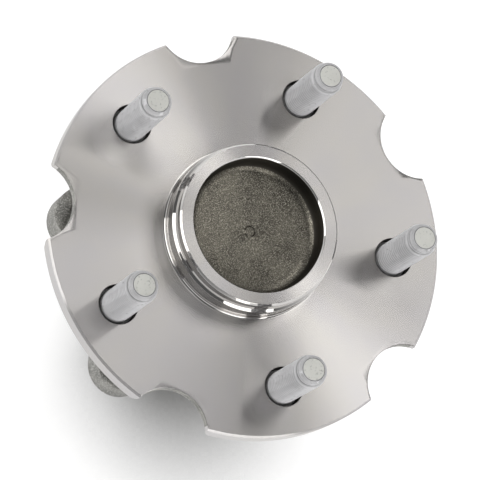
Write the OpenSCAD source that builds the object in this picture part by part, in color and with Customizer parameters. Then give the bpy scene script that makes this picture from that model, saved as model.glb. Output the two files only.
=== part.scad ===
// Rear wheel hub and bearing unit. A studded wheel flange turns on two rows of angular-contact
// balls inside an outer ring that bolts to the knuckle by four ears.
// The origin is the centre of the face that the wheel clamps against. +Z runs along the spin
// axis towards the wheel, and +X runs along the longer side of the knuckle's bolt rectangle.

/* [Wheel flange] */
// Diameter over the rim of the wheel flange
flange_d = 150; // [146:0.5:156]
// Thickness of the flange at its rim
rim_t = 7.6; // [6.8:0.1:8.6]
// Thickness of the flange at its stud bosses and its hub
boss_t = 12; // [11:0.1:13.5]
// Thickness of the web between the hub and the rim
web_t = 8.4; // [7.4:0.1:9.6]
// Diameter of the thick disc round the hub, on the back of the flange
back_disc_d = 92; // [88:0.5:96]
// Diameter of each stud boss, on the back of the flange
boss_d = 27; // [24:0.5:29]
// Chamfer on the rim's front edge
rim_front_chamfer = 0.8; // [0.4:0.1:1.2]
// Chamfer on the rim's back edge
rim_back_chamfer = 1.5; // [0.8:0.1:2.2]
// Radius of each scallop in the rim
scallop_r = 15; // [12:0.5:17]
// How far each scallop cuts in from the rim
scallop_depth = 9.9; // [7:0.1:11]
// Height of the scallop's straight wall, below which it flares
scallop_wall = 3.3; // [2:0.1:5]
// Angle at which the scallop flares below its straight wall
scallop_flare = 35; // [20:1:45]

/* [Pilots] */
// Diameter that centres the brake disc
brake_pilot_d = 62; // [60.5:0.1:64]
// Height of the brake disc pilot over the wheel face
brake_pilot_h = 7.3; // [6:0.1:8.5]
// Diameter that centres the wheel
wheel_pilot_d = 60; // [56:0.1:60]
// Height of the pilot's end over the wheel face
pilot_h = 13.3; // [12:0.1:16]
// Chamfer at the pilot's end
pilot_chamfer = 0.9; // [0.5:0.1:1.4]
// Fillet at the foot of the pilot
pilot_fillet = 1.2; // [0.6:0.1:1.6]
// Diameter of the recess in the pilot
recess_d = 49.4; // [46:0.1:52]
// Height of the recess's forged floor over the wheel face, beside the wall
recess_floor = 1.8; // [0.5:0.1:3]
// How far the forged floor rises to its middle
recess_crown = 2.2; // [1:0.1:3]
// Fillet between the recess's wall and floor
recess_fillet = 4.5; // [3:0.1:6]

/* [Wheel studs] */
// Diameter of the circle through the studs
stud_pcd = 114.3; // [112:0.1:118]
// Thread diameter of a stud
stud_d = 12; // [10:0.5:12.5]
// How far a stud stands out of the wheel face
stud_out = 29.3; // [26:0.1:36]
// Diameter over the knurl that holds the stud
knurl_d = 14.3; // [14:0.1:15]
// Length of the knurl
knurl_len = 8; // [6.5:0.1:9.5]
// Diameter of the stud's head
stud_head_d = 19.5; // [18:0.1:21]
// Thickness of the stud's head
stud_head_t = 4.5; // [3.5:0.1:5.5]
// Diameter of the smooth lead-in at the stud's tip
stud_lead_d = 10.6; // [9:0.1:11]
// Length of the lead-in
stud_lead_len = 3.2; // [2:0.1:4]
// Angle of the first stud from +X
hub_clock = 14.7; // [0:0.1:72]

/* [Ball rows] */
// Pitch diameter of both ball rows
pitch_d = 58; // [56:0.2:60]
// Ball diameter
ball_d = 12.7; // [11.9:0.1:13]
// Contact angle of the balls
contact_angle = 38; // [32:1:40]
// Raceway groove radius as a share of the ball diameter
conformity = 0.52; // [0.51:0.005:0.53]
// Running clearance between a ball and its raceway
ball_play = 0.02; // [0.01:0.01:0.05]
// Distance between the two ball rows
row_gap = 22; // [21:0.1:24]
// Distance from the flange's back to the outboard ball row
outboard_row = 17.5; // [17.3:0.1:19]
// Distance from the pitch circle to the shoulder of either raceway
shoulder_gap = 2.3; // [2.1:0.1:2.6]
// Lip of each raceway on its open side
race_lip = 0.6; // [0.4:0.1:1]
// Radial thickness of the cage
cage_t = 3.2; // [2.6:0.1:3.4]
// Clearance between a ball and its cage pocket
pocket_play = 0.2; // [0.1:0.05:0.3]
// Distance from the ball centres to the cage's heel
cage_heel = 8; // [7.6:0.1:8.2]
// Distance from the ball centres to the cage's prongs
cage_prong = 4; // [3:0.1:5]

/* [Spindle] */
// Diameter of the spindle under the inner ring
spindle_d = 32; // [30:0.5:34]
// Distance from the inboard ball row to the end of the inner ring
ring_tail = 12.5; // [12.2:0.1:14]
// Thread diameter of the spindle's end
nut_thread_d = 24; // [20:0.5:26]
// Width across the lock nut's flats
nut_flats = 34; // [31:0.5:34.5]
// Height of the lock nut
nut_h = 9; // [7:0.1:10]
// Diameter of the nut's flange
nut_flange_d = 39; // [37:0.5:41]
// Height of the thin collar that is staked into the spindle's slot
stake_collar_h = 1.5; // [1:0.1:2]
// Width of the slot in the spindle's end
stake_slot_w = 4; // [3:0.1:5]

/* [Outer ring] */
// Diameter of the outer ring's body
housing_d = 82; // [81:0.5:85]
// Distance from the wheel face to the face on the knuckle
mount_offset = 60; // [58:0.1:63]
// Distance from the flange's back to the outer ring's end
labyrinth = 2; // [1.5:0.1:2.5]
// Thickness of the ears
ear_t = 12.5; // [10:0.1:14]
// Radius of each ear's end
ear_r = 11.5; // [10:0.1:12.5]
// Radius of the circle that the ears' flanks aim at
ear_flank_r = 36.4; // [34:0.1:38]
// Bolt spacing along X
bolt_x = 79; // [77:0.5:84]
// Bolt spacing along Y
bolt_y = 56; // [54:0.5:62]
// Diameter of the tapped holes, at the crests of their threads
bolt_hole_d = 10.6; // [8.4:0.1:11]
// Countersink at both ends of each tapped hole
bolt_chamfer = 0.4; // [0.2:0.05:0.45]
// Fillet between the outer ring's body and its ears
ear_fillet = 3; // [2:0.1:4]
// Diameter of the spigot that centres the unit in the knuckle
spigot_d = 78; // [77:0.5:79.5]
// Length of the spigot
spigot_h = 8; // [7.2:0.1:9]

/* [Outboard seal] */
// Radial height of the seal
seal_section = 5.5; // [5:0.1:6]
// Step from the outboard raceway's lip out to the seal's seat
seal_step = 1.75; // [1.4:0.05:2.1]
// Axial depth of the seal's seat
seal_depth = 7; // [6.8:0.1:7.4]
// Thickness of the seal's steel case
seal_case_t = 1; // [0.8:0.1:1.2]
// Thickness of the seal's rubber lips
lip_t = 0.7; // [0.5:0.05:0.9]
// Running clearance at the seal's lips
lip_play = 0.12; // [0.05:0.01:0.2]

/* [Sensor end] */
// Thickness of the cap's sheet
cap_t = 1.5; // [1.2:0.1:1.8]
// Diameter over the cap's flange
cap_flange_d = 75.4; // [74:0.1:76]
// Diameter of the cap's cup
cap_cup_d = 67; // [66:0.5:68.5]
// Corner radius of the cup
cap_corner = 3; // [2.2:0.1:4]
// Length of the cap's sleeve in the outer ring
cap_sleeve = 6; // [4.5:0.1:6.5]
// Free space between the spindle's end and the cap
cap_clearance = 3.5; // [2.5:0.1:5]
// Thickness of the encoder's steel carrier
carrier_t = 0.8; // [0.6:0.1:0.9]
// Length of the carrier's sleeve on the inner ring
carrier_sleeve = 3.8; // [3:0.1:3.9]
// Radial width of the encoder's magnetic ring
encoder_w = 5; // [4.5:0.1:5]
// Thickness of the encoder's magnetic ring
encoder_t = 1.3; // [1:0.1:1.6]
// Air gap between the encoder and the sensor
air_gap = 1; // [0.6:0.1:1.4]
// Diameter of the sensor's stem
stem_d = 8; // [7:0.1:8]
// Diameter of the sensor's moulded foot
foot_d = 44; // [40:0.5:50]
// Height of the sensor's moulded foot
foot_h = 12; // [11:0.1:14]
// Width of the connector's shroud
shroud_w = 19; // [17:0.1:21]
// Distance from the axis to the connector's mouth
shroud_reach = 36; // [34:0.1:36.5]
// Depth of the connector's socket
socket_depth = 13; // [11:0.1:15]
// Wall thickness of the connector's shroud
shroud_wall = 2; // [1.5:0.1:2.5]

/* [Hidden] */
$fn = 96;
stud_count = 5;
ball_count = 12;
EAR_SIGNS = [[1, 1], [-1, 1], [-1, -1], [1, -1]];

flange_r = flange_d / 2;
stud_r = stud_d / 2;
knurl_r = knurl_d / 2;
stud_circle_r = stud_pcd / 2;
scallop_centre = flange_r - scallop_depth + scallop_r;
stud_step = 360 / stud_count;

ball_r = ball_d / 2;
pitch_r = pitch_d / 2;
groove_r = conformity * ball_d;
groove_shift = groove_r - ball_r - ball_play;
shift_r = groove_shift * cos(contact_angle);
shift_z = groove_shift * sin(contact_angle);
inner_lip_r = pitch_r - ball_r + race_lip;
outer_lip_r = pitch_r + ball_r - race_lip;
inner_shoulder_r = pitch_r - shoulder_gap;
outer_shoulder_r = pitch_r + shoulder_gap;

back_z = -boss_t;
boss_z = back_z - 0.4;
housing_end_z = back_z - labyrinth;
outboard_z = back_z - outboard_row;
inboard_z = outboard_z - row_gap;
ring_joint_z = (outboard_z + inboard_z) / 2;
ring_end_z = inboard_z - ring_tail;
nut_end_z = ring_end_z - nut_h;
spindle_end_z = nut_end_z - stake_collar_h;
mount_z = -mount_offset;
spigot_end_z = mount_z - spigot_h;

seal_seat_r = outer_lip_r + seal_step;
seal_land_r = seal_seat_r - seal_section;
seal_floor_z = housing_end_z - seal_depth;
seal_land_end_z = housing_end_z - seal_depth + 0.5;

cap_seat_r = outer_lip_r + 0.45;
cap_inner_z = spindle_end_z - cap_clearance;
cap_outer_z = cap_inner_z - cap_t;
encoder_face_z = ring_end_z - carrier_t - encoder_t;
stem_top_z = encoder_face_z - air_gap;
encoder_mid_r = inner_shoulder_r + carrier_t - encoder_w / 2;
foot_end_z = cap_outer_z - foot_h;

socket_w = shroud_w - 2 * shroud_wall;
socket_h = foot_h - 2 * shroud_wall;
socket_floor_x = socket_depth - shroud_reach;
pin_w = 1.6;
pin_t = 0.7;
pin_len = 8;
pin_root = 3;
pin_gap = 5;
chip_d = 4.6;
chip_t = 1.5;

// Fills the inside corner at p with a fillet of radius r, on the outer side and above or below
module corner_fill(p, r, above = true) {
    translate(p)
        mirror([0, above ? 0 : 1])
            difference() {
                square(r);
                translate([r, r])
                    circle(r = r);
            }
}

// Points of an arc from angle a to angle b
function arc(centre, r, a, b, steps = 8) = [
    for (i = [0 : steps])
        let (t = (a * (steps - i) + b * i) / steps)
            centre + r * [cos(t), sin(t)]
];

// The points without the first
function rest(points) = [for (i = [1 : len(points) - 1]) points[i]];

// The bearing groove of one row: side is 1 for the inner race and -1 for the outer race,
// and slant is -1 for the outboard row and 1 for the inboard row
module groove(row_z, side, slant) {
    translate([pitch_r + side * shift_r, row_z + side * slant * shift_z])
        circle(r = groove_r);
}

module at_studs() {
    for (i = [0 : stud_count - 1])
        rotate(hub_clock + i * stud_step)
            translate([stud_circle_r, 0])
                children();
}

module hub_profile() {
    end_chamfer = 1;
    land_chamfer = 0.6;
    root_fillet = 1.4;
    mouth_chamfer = 0.9;
    step_chamfer = 0.7;
    brake_r = brake_pilot_d / 2;
    wheel_r = wheel_pilot_d / 2;
    recess_r = recess_d / 2;
    floor_r = recess_r - recess_fillet;
    crown_r = (floor_r * floor_r + recess_crown * recess_crown) / (2 * recess_crown);
    crown_half = asin(floor_r / crown_r);
    crown_flat = asin(2.5 / crown_r);
    crown_centre = [0, recess_floor + recess_crown - crown_r];
    crown = arc(crown_centre, crown_r, 90 - crown_half, 90 - crown_flat);
    thread_r = nut_thread_d / 2;
    spindle_r = spindle_d / 2;
    rim_ledge_r = flange_r - scallop_depth;
    disc_r = back_disc_d / 2;
    difference() {
        union() {
            polygon(concat(
                [
                    [0, spindle_end_z],
                    [thread_r - end_chamfer, spindle_end_z],
                    [thread_r, spindle_end_z + end_chamfer],
                    [thread_r, ring_end_z],
                    [spindle_r, ring_end_z],
                    [spindle_r, ring_joint_z],
                    [inner_lip_r, ring_joint_z],
                    [inner_lip_r, outboard_z],
                    [inner_shoulder_r, outboard_z],
                    [inner_shoulder_r, seal_land_end_z],
                    [seal_land_r - land_chamfer, seal_land_end_z],
                    [seal_land_r, seal_land_end_z + land_chamfer],
                    [seal_land_r, back_z],
                    [disc_r, back_z],
                    [disc_r + (boss_t - web_t) * 1.4, -web_t],
                    [rim_ledge_r, -rim_t],
                    [flange_r - rim_back_chamfer, -rim_t],
                    [flange_r, rim_back_chamfer - rim_t],
                    [flange_r, -rim_front_chamfer],
                    [flange_r - rim_front_chamfer, 0],
                    [brake_r, 0],
                    [brake_r, brake_pilot_h],
                    [wheel_r, brake_pilot_h + step_chamfer],
                    [wheel_r, pilot_h - pilot_chamfer],
                    [wheel_r - pilot_chamfer, pilot_h],
                    [recess_r + mouth_chamfer, pilot_h],
                    [recess_r, pilot_h - mouth_chamfer]
                ],
                arc([floor_r, recess_floor + recess_fillet], recess_fillet, 0, -90),
                rest(crown),
                [[0, crown[len(crown) - 1][1]]]
            ));
            corner_fill([brake_r, 0], pilot_fillet);
            corner_fill([seal_land_r, back_z], root_fillet, above = false);
        }
        groove(outboard_z, 1, -1);
    }
}

// A scallop's cutter: straight near the wheel face, flaring towards the back
module scallop() {
    flare_h = boss_t - scallop_wall + 1;
    edge = 0.3;
    translate([scallop_centre, 0, 0])
        rotate_extrude()
            polygon([
                [0, -scallop_wall - flare_h],
                [scallop_r + flare_h * tan(scallop_flare), -scallop_wall - flare_h],
                [scallop_r, -scallop_wall],
                [scallop_r, -edge],
                [scallop_r + 2 * edge, edge],
                [0, edge]
            ]);
}

module wheel_hub() {
    boss_draft = 1;
    boss_r = boss_d / 2;
    hole_chamfer = 0.3;
    slot_depth = 3;
    color("silver")
        difference() {
            union() {
                rotate_extrude()
                    hub_profile();
                at_studs()
                    rotate_extrude()
                        polygon([
                            [0, boss_z],
                            [boss_r, boss_z],
                            [boss_r, boss_z + 1],
                            [boss_r + boss_draft, -1],
                            [0, -1]
                        ]);
            }
            for (i = [0 : stud_count - 1])
                rotate(hub_clock + (i + 0.5) * stud_step)
                    scallop();
            at_studs()
                rotate_extrude()
                    polygon([
                        [0, boss_z - 1],
                        [knurl_r, boss_z - 1],
                        [knurl_r, -hole_chamfer],
                        [knurl_r + 2 * hole_chamfer, hole_chamfer],
                        [0, hole_chamfer]
                    ]);
            translate([nut_thread_d / 2 - slot_depth, -stake_slot_w / 2, spindle_end_z - 1])
                cube([slot_depth + 1, stake_slot_w, nut_h + stake_collar_h]);
        }
}

module wheel_stud() {
    head_r = stud_head_d / 2;
    lead_r = stud_lead_d / 2;
    head_round = 1;
    tip_chamfer = 1;
    knurl_chamfer = 0.6;
    knurl_top = boss_z + knurl_len;
    thread_top = stud_out - stud_lead_len;
    color("gainsboro")
        rotate_extrude()
            polygon([
                [0, boss_z - stud_head_t],
                [head_r - 2 * head_round, boss_z - stud_head_t],
                [head_r, boss_z - stud_head_t + head_round],
                [head_r, boss_z],
                [knurl_r, boss_z],
                [knurl_r, knurl_top - knurl_chamfer],
                [stud_r, knurl_top],
                [stud_r, thread_top - (stud_r - lead_r)],
                [lead_r, thread_top],
                [lead_r, stud_out - tip_chamfer],
                [lead_r - tip_chamfer, stud_out],
                [0, stud_out]
            ]);
}

module inner_ring() {
    edge = 0.6;
    spindle_r = spindle_d / 2;
    color("lightslategray")
        rotate_extrude()
            difference() {
                polygon([
                    [spindle_r, ring_end_z],
                    [inner_shoulder_r - edge, ring_end_z],
                    [inner_shoulder_r, ring_end_z + edge],
                    [inner_shoulder_r, inboard_z],
                    [inner_lip_r, inboard_z],
                    [inner_lip_r, ring_joint_z],
                    [spindle_r, ring_joint_z]
                ]);
                groove(inboard_z, 1, 1);
            }
}

module lock_nut() {
    flange_h = 2.5;
    corner_r = nut_flats / 2 / cos(30);
    thread_r = nut_thread_d / 2;
    collar_t = 1.8;
    crown = 1.2;
    dent_r = 2;
    tab_w = stake_slot_w - 0.6;
    tab_depth = 1.6;
    color("dimgray")
        difference() {
            union() {
                translate([0, 0, ring_end_z - flange_h])
                    cylinder(h = flange_h, d = nut_flange_d);
                intersection() {
                    translate([0, 0, nut_end_z])
                        cylinder(h = nut_h, r = corner_r, $fn = 6);
                    translate([0, 0, nut_end_z])
                        cylinder(h = nut_h, r1 = corner_r - crown, r2 = corner_r - crown + nut_h);
                }
                translate([0, 0, nut_end_z - stake_collar_h])
                    cylinder(h = stake_collar_h, r = thread_r + collar_t);
            }
            translate([0, 0, spindle_end_z - 1])
                cylinder(h = nut_h + stake_collar_h + 2, r = thread_r);
            translate([thread_r + collar_t + dent_r / 2, 0, nut_end_z - stake_collar_h - 1])
                cylinder(h = stake_collar_h + 1, r = dent_r);
        }
    color("dimgray")
        translate([thread_r - tab_depth, -tab_w / 2, nut_end_z - stake_collar_h])
            cube([tab_depth + 0.6, tab_w, stake_collar_h]);
}

module encoder_carrier() {
    outer_r = inner_shoulder_r + carrier_t;
    color("darkgray")
        rotate_extrude()
            polygon([
                [inner_shoulder_r, ring_end_z + carrier_sleeve],
                [outer_r, ring_end_z + carrier_sleeve],
                [outer_r, ring_end_z - carrier_t],
                [outer_r - encoder_w, ring_end_z - carrier_t],
                [outer_r - encoder_w, ring_end_z],
                [inner_shoulder_r, ring_end_z]
            ]);
}

module encoder_magnet() {
    outer_r = inner_shoulder_r + carrier_t;
    color("#2b2b2e")
        translate([0, 0, encoder_face_z])
            difference() {
                cylinder(h = encoder_t, r = outer_r);
                translate([0, 0, -1])
                    cylinder(h = encoder_t + 2, r = outer_r - encoder_w + 0.2);
            }
}

// Outline of the four ears: a round end on each bolt, with flanks that run in to the body
module ear_outline() {
    for (s = EAR_SIGNS) {
        centre = [s[0] * bolt_x / 2, s[1] * bolt_y / 2];
        a = atan2(centre[1], centre[0]);
        b = acos((ear_flank_r - ear_r) / norm(centre));
        left = [cos(a + b), sin(a + b)];
        right = [cos(a - b), sin(a - b)];
        translate(centre)
            circle(r = ear_r);
        polygon([
            ear_flank_r * right,
            centre + ear_r * right,
            centre + ear_r * left,
            ear_flank_r * left
        ]);
    }
}

module housing_profile() {
    edge = 0.5;
    outer_edge = 1.5;
    spigot_edge = 1;
    housing_r = housing_d / 2;
    spigot_r = spigot_d / 2;
    cap_seat_z = spigot_end_z + cap_sleeve + 0.5;
    difference() {
        polygon([
            [seal_seat_r + edge, housing_end_z],
            [seal_seat_r, housing_end_z - edge],
            [seal_seat_r, seal_floor_z],
            [outer_lip_r, seal_floor_z],
            [outer_lip_r, outboard_z],
            [outer_shoulder_r, outboard_z],
            [outer_shoulder_r, inboard_z],
            [outer_lip_r, inboard_z],
            [outer_lip_r, cap_seat_z],
            [cap_seat_r, cap_seat_z],
            [cap_seat_r, spigot_end_z + edge],
            [cap_seat_r + edge, spigot_end_z],
            [spigot_r - spigot_edge, spigot_end_z],
            [spigot_r, spigot_end_z + spigot_edge],
            [spigot_r, mount_z],
            [housing_r, mount_z],
            [housing_r, housing_end_z - outer_edge],
            [housing_r - outer_edge, housing_end_z]
        ]);
        groove(outboard_z, -1, -1);
        groove(inboard_z, -1, 1);
    }
}

// The forged ears fall away at their tips, on the side that faces the wheel flange
module ear_crown(top_z) {
    tip_r = norm([bolt_x, bolt_y]) / 2 + ear_r;
    drop = 2.2;
    run = 3.4;
    fall = run / drop;
    polygon([
        [0, mount_z - 1],
        [tip_r + 1, mount_z - 1],
        [tip_r + 1, top_z - drop - 1 / fall],
        [tip_r - run - fall, top_z + 1],
        [0, top_z + 1]
    ]);
}

module bearing_housing() {
    housing_r = housing_d / 2;
    root_r = housing_r - 1.5;
    ear_top_z = mount_z + ear_t;
    bolt_r = bolt_hole_d / 2;
    color("darkkhaki")
        difference() {
            union() {
                rotate_extrude()
                    housing_profile();
                difference() {
                    intersection() {
                        translate([0, 0, mount_z])
                            linear_extrude(ear_t)
                                ear_outline();
                        rotate_extrude()
                            ear_crown(ear_top_z);
                    }
                    translate([0, 0, mount_z - 1])
                        cylinder(h = ear_t + 2, r = root_r);
                }
                intersection() {
                    rotate_extrude()
                        corner_fill([housing_r, ear_top_z], ear_fillet);
                    translate([0, 0, mount_z])
                        linear_extrude(2 * ear_t)
                            ear_outline();
                }
            }
            for (s = EAR_SIGNS)
                translate([s[0] * bolt_x / 2, s[1] * bolt_y / 2, mount_z]) {
                    translate([0, 0, -1])
                        cylinder(h = ear_t + 2, r = bolt_r);
                    translate([0, 0, -1])
                        cylinder(h = 1 + bolt_chamfer, r1 = bolt_r + bolt_chamfer + 1, r2 = bolt_r);
                    translate([0, 0, ear_t - bolt_chamfer])
                        cylinder(h = 1 + bolt_chamfer, r1 = bolt_r, r2 = bolt_r + bolt_chamfer + 1);
                }
        }
}

module seal_case() {
    lead = 0.6;
    inner_r = seal_land_r + 2;
    color("darkgray")
        rotate_extrude()
            polygon([
                [seal_seat_r, housing_end_z - lead],
                [seal_seat_r, seal_floor_z],
                [inner_r, seal_floor_z],
                [inner_r, seal_floor_z + seal_case_t],
                [seal_seat_r - seal_case_t, seal_floor_z + seal_case_t],
                [seal_seat_r - seal_case_t, housing_end_z - lead]
            ]);
}

// Rubber bonded to the case: a foot along the case's floor, a radial lip on the hub's ground
// land and a face lip that reaches up to the back of the flange
module seal_lips() {
    foot_z = seal_floor_z + seal_case_t;
    foot_top_z = foot_z + 1.2;
    foot_r = seal_seat_r - seal_case_t;
    bead_r = seal_land_r + 1.5;
    lip_r = seal_land_r + lip_play;
    face_lip_r = foot_r - 1.4;
    face_tip_z = back_z - lip_play;
    face_rise = face_tip_z - foot_top_z;
    lean = 0.14;
    color("#1c1c1e")
        rotate_extrude() {
            polygon([
                [bead_r, seal_floor_z],
                [seal_land_r + 2, seal_floor_z],
                [seal_land_r + 2, foot_z],
                [foot_r, foot_z],
                [foot_r, foot_top_z],
                [bead_r + lip_t, foot_top_z],
                [lip_r + lip_t / 2, foot_top_z + 1.5],
                [lip_r, foot_top_z + 1.2],
                [bead_r - lip_t, foot_top_z - 0.6]
            ]);
            polygon([
                [face_lip_r - lip_t, foot_top_z - 0.4],
                [face_lip_r, foot_top_z - 0.4],
                [face_lip_r + face_rise * lean, face_tip_z],
                [face_lip_r + face_rise * lean - lip_t / 2, face_tip_z]
            ]);
        }
}

// A snap-in ball cage. Its heel lies towards +Z, and each pocket holds a ball past its middle
module cage() {
    inner_r = pitch_r - cage_t / 2;
    outer_r = pitch_r + cage_t / 2;
    heel_t = 1.6;
    heel_r = outer_r + 2.2;
    color("#3a332a")
        difference() {
            rotate_extrude()
                polygon([
                    [inner_r, -cage_prong],
                    [outer_r, -cage_prong],
                    [outer_r, cage_heel - heel_t],
                    [heel_r, cage_heel - heel_t],
                    [heel_r, cage_heel],
                    [inner_r, cage_heel]
                ]);
            for (i = [0 : ball_count - 1])
                rotate(i * 360 / ball_count)
                    translate([pitch_r, 0, 0])
                        sphere(r = ball_r + pocket_play);
        }
}

module ball(index, row_z) {
    color("whitesmoke")
        rotate((index - 1) * 360 / ball_count)
            translate([pitch_r, 0, row_z])
                sphere(r = ball_r);
}

module sensor_cap() {
    cup_r = cap_cup_d / 2;
    flange_z = spigot_end_z - cap_t;
    inner_corner = cap_corner - cap_t;
    corner_centre = [cup_r - cap_corner, cap_outer_z + cap_corner];
    color("lightgray")
        difference() {
            rotate_extrude()
                polygon(concat(
                    [
                        [0, cap_inner_z],
                        [0, cap_outer_z]
                    ],
                    arc(corner_centre, cap_corner, -90, 0),
                    [
                        [cup_r, flange_z],
                        [cap_flange_d / 2, flange_z],
                        [cap_flange_d / 2, spigot_end_z],
                        [cap_seat_r, spigot_end_z],
                        [cap_seat_r, spigot_end_z + cap_sleeve],
                        [cap_seat_r - cap_t, spigot_end_z + cap_sleeve],
                        [cap_seat_r - cap_t, spigot_end_z + cap_t],
                        [cup_r - cap_t, spigot_end_z]
                    ],
                    arc(corner_centre, inner_corner, 0, -90)
                ));
            translate([encoder_mid_r, 0, cap_outer_z - 1])
                cylinder(h = cap_t + 2, d = stem_d);
        }
}

// Outline of the sensor's foot: a round pad on the axis with a lobe under the stem
module foot_outline() {
    foot_r = foot_d / 2;
    lobe_r = stem_d / 2 + 2;
    b = acos((foot_r - lobe_r) / encoder_mid_r);
    up = [cos(b), sin(b)];
    down = [cos(b), -sin(b)];
    circle(r = foot_r);
    translate([encoder_mid_r, 0])
        circle(r = lobe_r);
    polygon([
        foot_r * down,
        [encoder_mid_r, 0] + lobe_r * down,
        [encoder_mid_r, 0] + lobe_r * up,
        foot_r * up
    ]);
}

// Hollows cored out of the foot's outer side, between radial ribs
module foot_pockets() {
    rim = 2.5;
    rib_w = 1.8;
    hub_r = 8;
    guard_w = shroud_w + 2 * rib_w;
    difference() {
        circle(r = foot_d / 2 - rim);
        circle(r = hub_r);
        for (a = [0 : 45 : 135])
            rotate(a)
                square([foot_d, rib_w], center = true);
        translate([-shroud_reach, -guard_w / 2])
            square([shroud_reach + rib_w / 2, guard_w]);
        translate([encoder_mid_r, 0])
            circle(r = stem_d);
    }
}

module rounded_rectangle(w, h, r) {
    square([w - 2 * r, h], center = true);
    square([w, h - 2 * r], center = true);
    for (x = [-1, 1], y = [-1, 1])
        translate([x * (w / 2 - r), y * (h / 2 - r)])
            circle(r = r);
}

// The space of one terminal, from its root in the plastic to its free end in the socket
module terminal(side) {
    translate([
        socket_floor_x - pin_len,
        side * pin_gap / 2 - pin_w / 2,
        foot_end_z + foot_h / 2 - pin_t / 2
    ])
        cube([pin_len + pin_root, pin_w, pin_t]);
}

module sensor_body() {
    shroud_corner = 2.5;
    socket_corner = 0.5;
    pocket_depth = 3.5;
    rail_h = 2.4;
    rail_len = 9;
    rail_back = 0.6;
    window_w = 5;
    mid_z = foot_end_z + foot_h / 2;
    color("#202124")
        difference() {
            union() {
                translate([0, 0, foot_end_z])
                    linear_extrude(foot_h)
                        foot_outline();
                translate([-shroud_reach, 0, mid_z])
                    rotate([90, 0, 90])
                        linear_extrude(shroud_reach)
                            rounded_rectangle(shroud_w, foot_h, shroud_corner);
                translate([rail_back - shroud_reach, -shroud_w / 2 - rail_h / 2, mid_z - rail_h / 2])
                    cube([rail_len, shroud_w + rail_h, rail_h]);
                translate([encoder_mid_r, 0, cap_outer_z - 1])
                    cylinder(h = stem_top_z - cap_outer_z + 1, d = stem_d);
            }
            translate([-shroud_reach - 1, 0, mid_z])
                rotate([90, 0, 90])
                    linear_extrude(socket_depth + 1)
                        rounded_rectangle(socket_w, socket_h, socket_corner);
            translate([-shroud_reach - 1, -window_w / 2, mid_z])
                cube([socket_depth / 4 + 1, window_w, foot_h]);
            translate([0, 0, foot_end_z - 1])
                linear_extrude(pocket_depth + 1)
                    foot_pockets();
            translate([encoder_mid_r, 0, stem_top_z - chip_t])
                cylinder(h = chip_t + 1, d = chip_d);
            terminal(1);
            terminal(-1);
        }
}

module sensor_element() {
    color("#0f3d2e")
        translate([encoder_mid_r, 0, stem_top_z - chip_t])
            cylinder(h = chip_t, d = chip_d);
}

module sensor_terminal(side) {
    color("goldenrod")
        terminal(side);
}

wheel_hub();
for (i = [1 : stud_count])
    rotate(hub_clock + (i - 1) * stud_step)
            translate([stud_circle_r, 0])
                wheel_stud();
inner_ring();
lock_nut();
encoder_carrier();
encoder_magnet();
bearing_housing();
seal_case();
seal_lips();
sensor_cap();
sensor_body();
sensor_element();
sensor_terminal(1);  // sensor_terminal_1
sensor_terminal(-1);  // sensor_terminal_2
translate([0, 0, outboard_z])  // outboard_cage
        cage();
translate([0, 0, inboard_z])  // inboard_cage
        mirror([0, 0, 1])
            cage();
for (i = [1 : ball_count]) {
    ball(i, outboard_z);
    ball(i, inboard_z);
}
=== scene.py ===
import math

import bmesh
import bpy
import numpy as np
from mathutils import Euler, Matrix, Vector


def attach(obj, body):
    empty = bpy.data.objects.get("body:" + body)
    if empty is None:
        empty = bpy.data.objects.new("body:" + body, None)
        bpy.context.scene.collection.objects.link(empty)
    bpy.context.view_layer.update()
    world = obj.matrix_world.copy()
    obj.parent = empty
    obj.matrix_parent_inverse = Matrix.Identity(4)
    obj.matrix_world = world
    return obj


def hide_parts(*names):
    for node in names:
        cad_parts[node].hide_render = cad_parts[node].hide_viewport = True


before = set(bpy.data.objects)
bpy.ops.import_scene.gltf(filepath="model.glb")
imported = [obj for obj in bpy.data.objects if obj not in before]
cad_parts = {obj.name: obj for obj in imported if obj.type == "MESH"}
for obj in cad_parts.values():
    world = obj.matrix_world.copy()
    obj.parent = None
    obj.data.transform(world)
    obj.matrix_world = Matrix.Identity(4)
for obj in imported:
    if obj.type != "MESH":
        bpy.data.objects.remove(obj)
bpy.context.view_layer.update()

# The sizes of shapes, the studio and its camera are millimetres and degrees, in the frame of the
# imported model: the wheel face is at height 0, and the spin axis is Z. Sizes in the materials are
# metres, as Blender takes them.

turnSteps = 216           # facets round every turned surface
studSteps = 72            # facets round a stud, its boss and its hole
studCount = 5
studStep = 360 / studCount
firstStud = 14.7          # angle of the first stud
studCircle = 57.15        # radius of the bolt circle
pitchRadius = 29.0        # both ball rows
grooveRadius = 6.604      # ball grooves
grooveOut = 0.184         # from the balls' circle to the centre of a groove, along the radius
grooveAlong = 0.144       # and along the axis
lipAngle = 26.03          # from the radial line to the end of a groove at its lip
shoulderAngle = 67.91     # and to its end at the shoulder
grooveSteps = 12
arcStep = 22.5            # between two points of a rounded corner
holdGap = 0.12            # from a rounded corner to the loop that holds it
overreach = 1.0           # how far a cutting tool goes past what it cuts
mergeDistance = 0.000001  # metres


# Modelling helpers

def metres(values):
    return [value / 1000 for value in values]


def clearSelection():
    if bpy.context.object and bpy.context.object.mode != "OBJECT":
        bpy.ops.object.mode_set(mode="OBJECT")
    bpy.ops.object.select_all(action="DESELECT")


def pick(piece):
    clearSelection()
    piece.select_set(True)
    bpy.context.view_layer.objects.active = piece


def inEdit(piece):
    pick(piece)
    bpy.ops.object.mode_set(mode="EDIT")
    bpy.ops.mesh.select_mode(type="VERT")


def outOfEdit():
    bpy.ops.object.mode_set(mode="OBJECT")


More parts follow.
